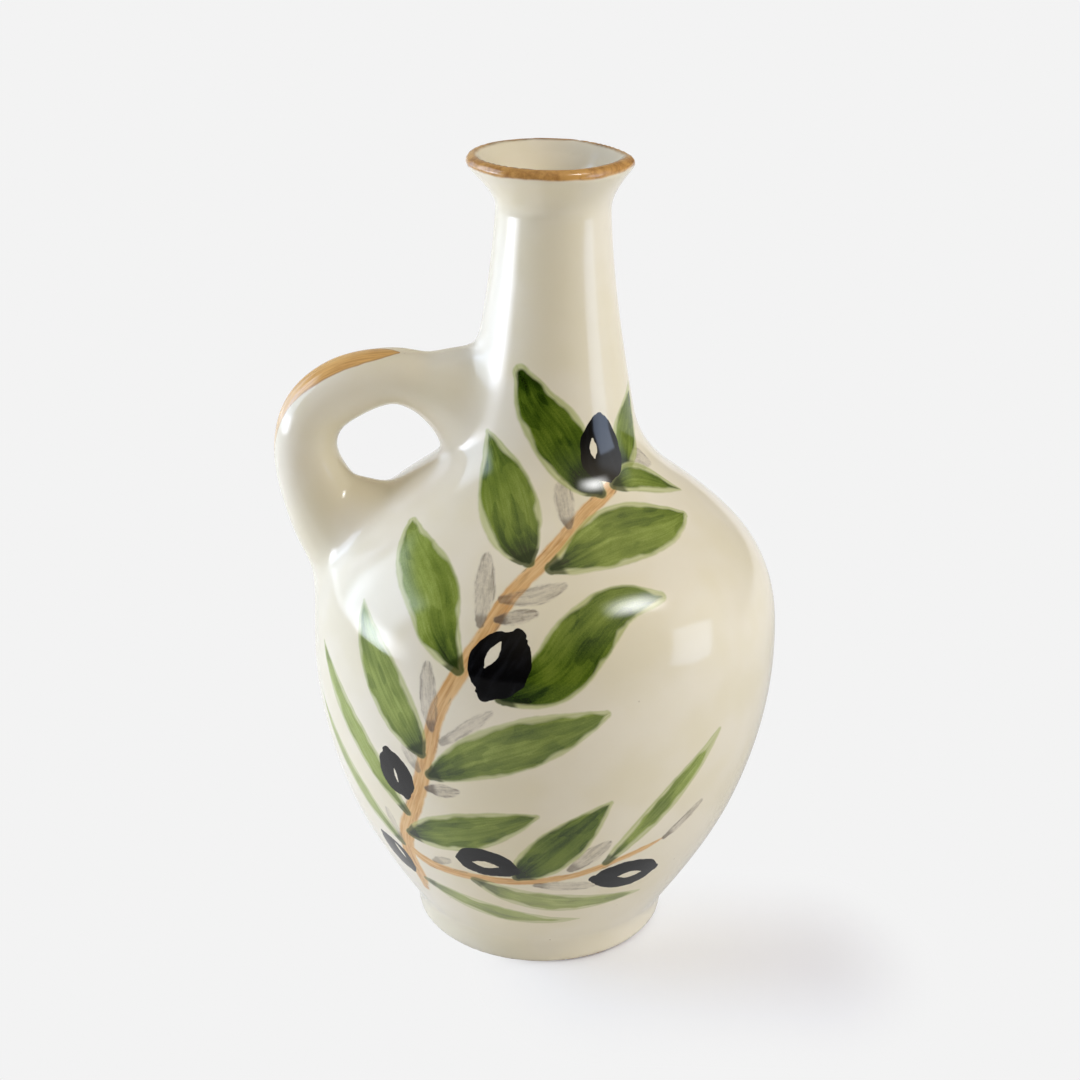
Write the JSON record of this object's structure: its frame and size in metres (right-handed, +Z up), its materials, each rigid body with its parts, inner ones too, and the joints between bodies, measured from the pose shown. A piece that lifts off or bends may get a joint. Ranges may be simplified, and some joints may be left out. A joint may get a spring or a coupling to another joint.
{
  "type": "olive oil dispenser",
  "caption": "Glazed earthenware oil jug with a round belly, slim neck, pinched pouring lip and loop handle, hand painted with an olive branch.",
  "frame": {"origin": "centre of the foot, on the surface the jug stands on", "axes": "+Z up along the axis of the turned body, +X towards the pinched tip of the lip, -X towards the handle, -Y towards the painted side"},
  "size_m": [0.1316, 0.1222, 0.2103],
  "materials": {
    "cream_glaze": "glossy cream glaze over pale earthenware",
    "ochre_rim_paint": "mottled ochre-brown underglaze paint, glossy",
    "ochre_stripe_paint": "thin ochre brush stripe, glossy",
    "green_leaf_paint": "streaky green brush strokes under gloss glaze",
    "ochre_twig_paint": "ochre brush line under gloss glaze",
    "black_olive_paint": "thick black paint, glossy",
    "grey_bud_paint": "thin warm grey wash under gloss glaze"
  },
  "bodies": {
    "root": {"jug": "cream_glaze", "rim_paint": "ochre_rim_paint", "handle_paint": "ochre_stripe_paint", "leaves": "green_leaf_paint", "twigs": "ochre_twig_paint", "olives": "black_olive_paint", "buds": "grey_bud_paint"}
  },
  "joints": []
}
